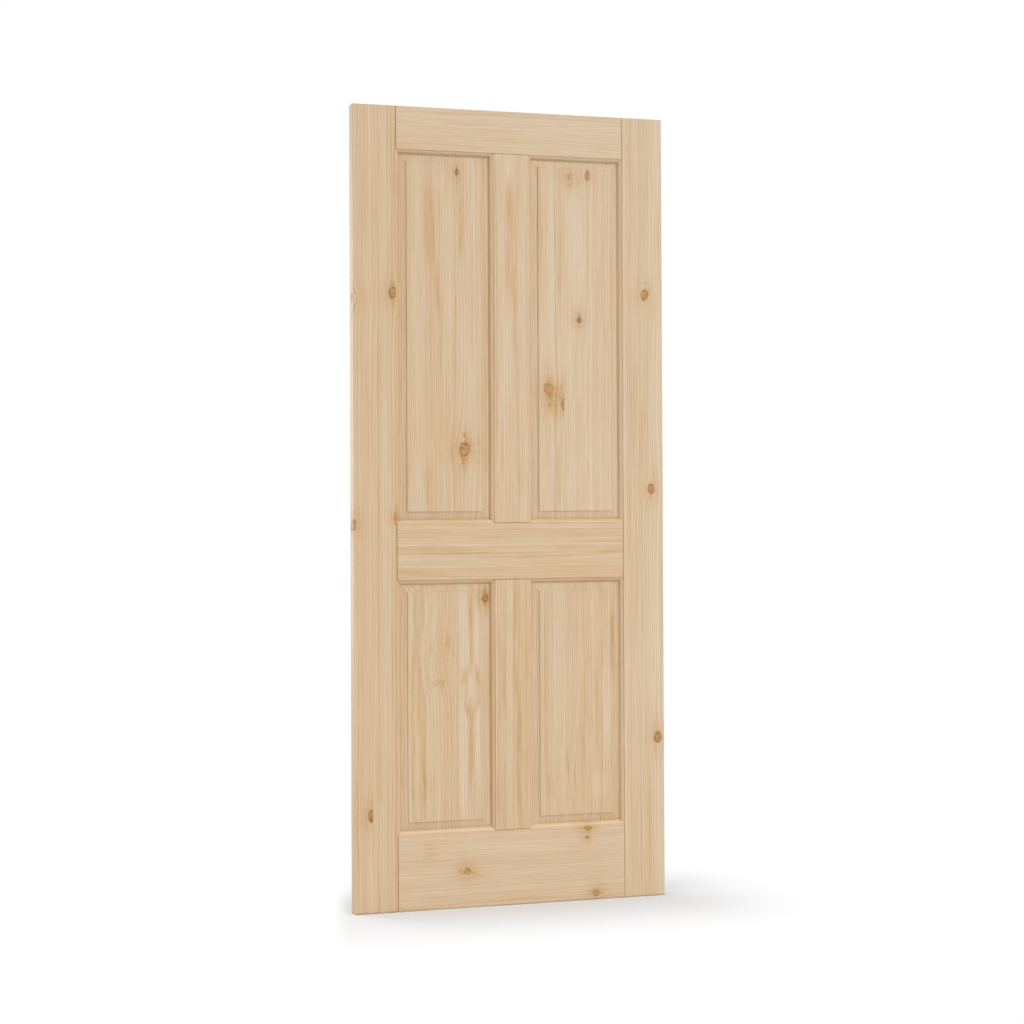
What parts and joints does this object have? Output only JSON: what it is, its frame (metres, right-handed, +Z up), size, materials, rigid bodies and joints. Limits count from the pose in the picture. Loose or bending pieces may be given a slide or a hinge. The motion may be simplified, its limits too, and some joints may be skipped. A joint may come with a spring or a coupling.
{
  "type": "four-panel pine door",
  "caption": "Unfinished knotty-pine door slab: coped stiles, rails and mullions round raised and fielded panels, bare of hinges and lock.",
  "frame": {"origin": "on the hinge edge, halfway through the thickness, at the door's foot", "axes": "+X from the hinge edge to the lock edge, +Y from the front face to the back face, +Z up"},
  "size_m": [0.813, 0.035, 1.981],
  "materials": {
    "stile_pine": "bare sanded knotty pine, upright grain",
    "rail_pine": "bare sanded knotty pine, level grain",
    "mullion_pine": "bare sanded knotty pine, upright grain",
    "panel_pine": "bare sanded knotty pine, edge-glued boards, upright grain",
    "dowel_beech": "plain turned dowel"
  },
  "bodies": {
    "root": {"left_stile": "stile_pine", "right_stile": "stile_pine", "top_rail": "rail_pine", "lock_rail": "rail_pine", "bottom_rail": "rail_pine", "upper_mullion": "mullion_pine", "lower_mullion": "mullion_pine", "upper_left_panel": "panel_pine", "upper_right_panel": "panel_pine", "lower_left_panel": "panel_pine", "lower_right_panel": "panel_pine", "top_rail_left_dowels": "dowel_beech", "top_rail_right_dowels": "dowel_beech", "lock_rail_left_dowels": "dowel_beech", "lock_rail_right_dowels": "dowel_beech", "bottom_rail_left_dowels": "dowel_beech", "bottom_rail_right_dowels": "dowel_beech", "upper_mullion_top_dowels": "dowel_beech", "upper_mullion_bottom_dowels": "dowel_beech", "lower_mullion_top_dowels": "dowel_beech", "lower_mullion_bottom_dowels": "dowel_beech"}
  },
  "joints": []
}
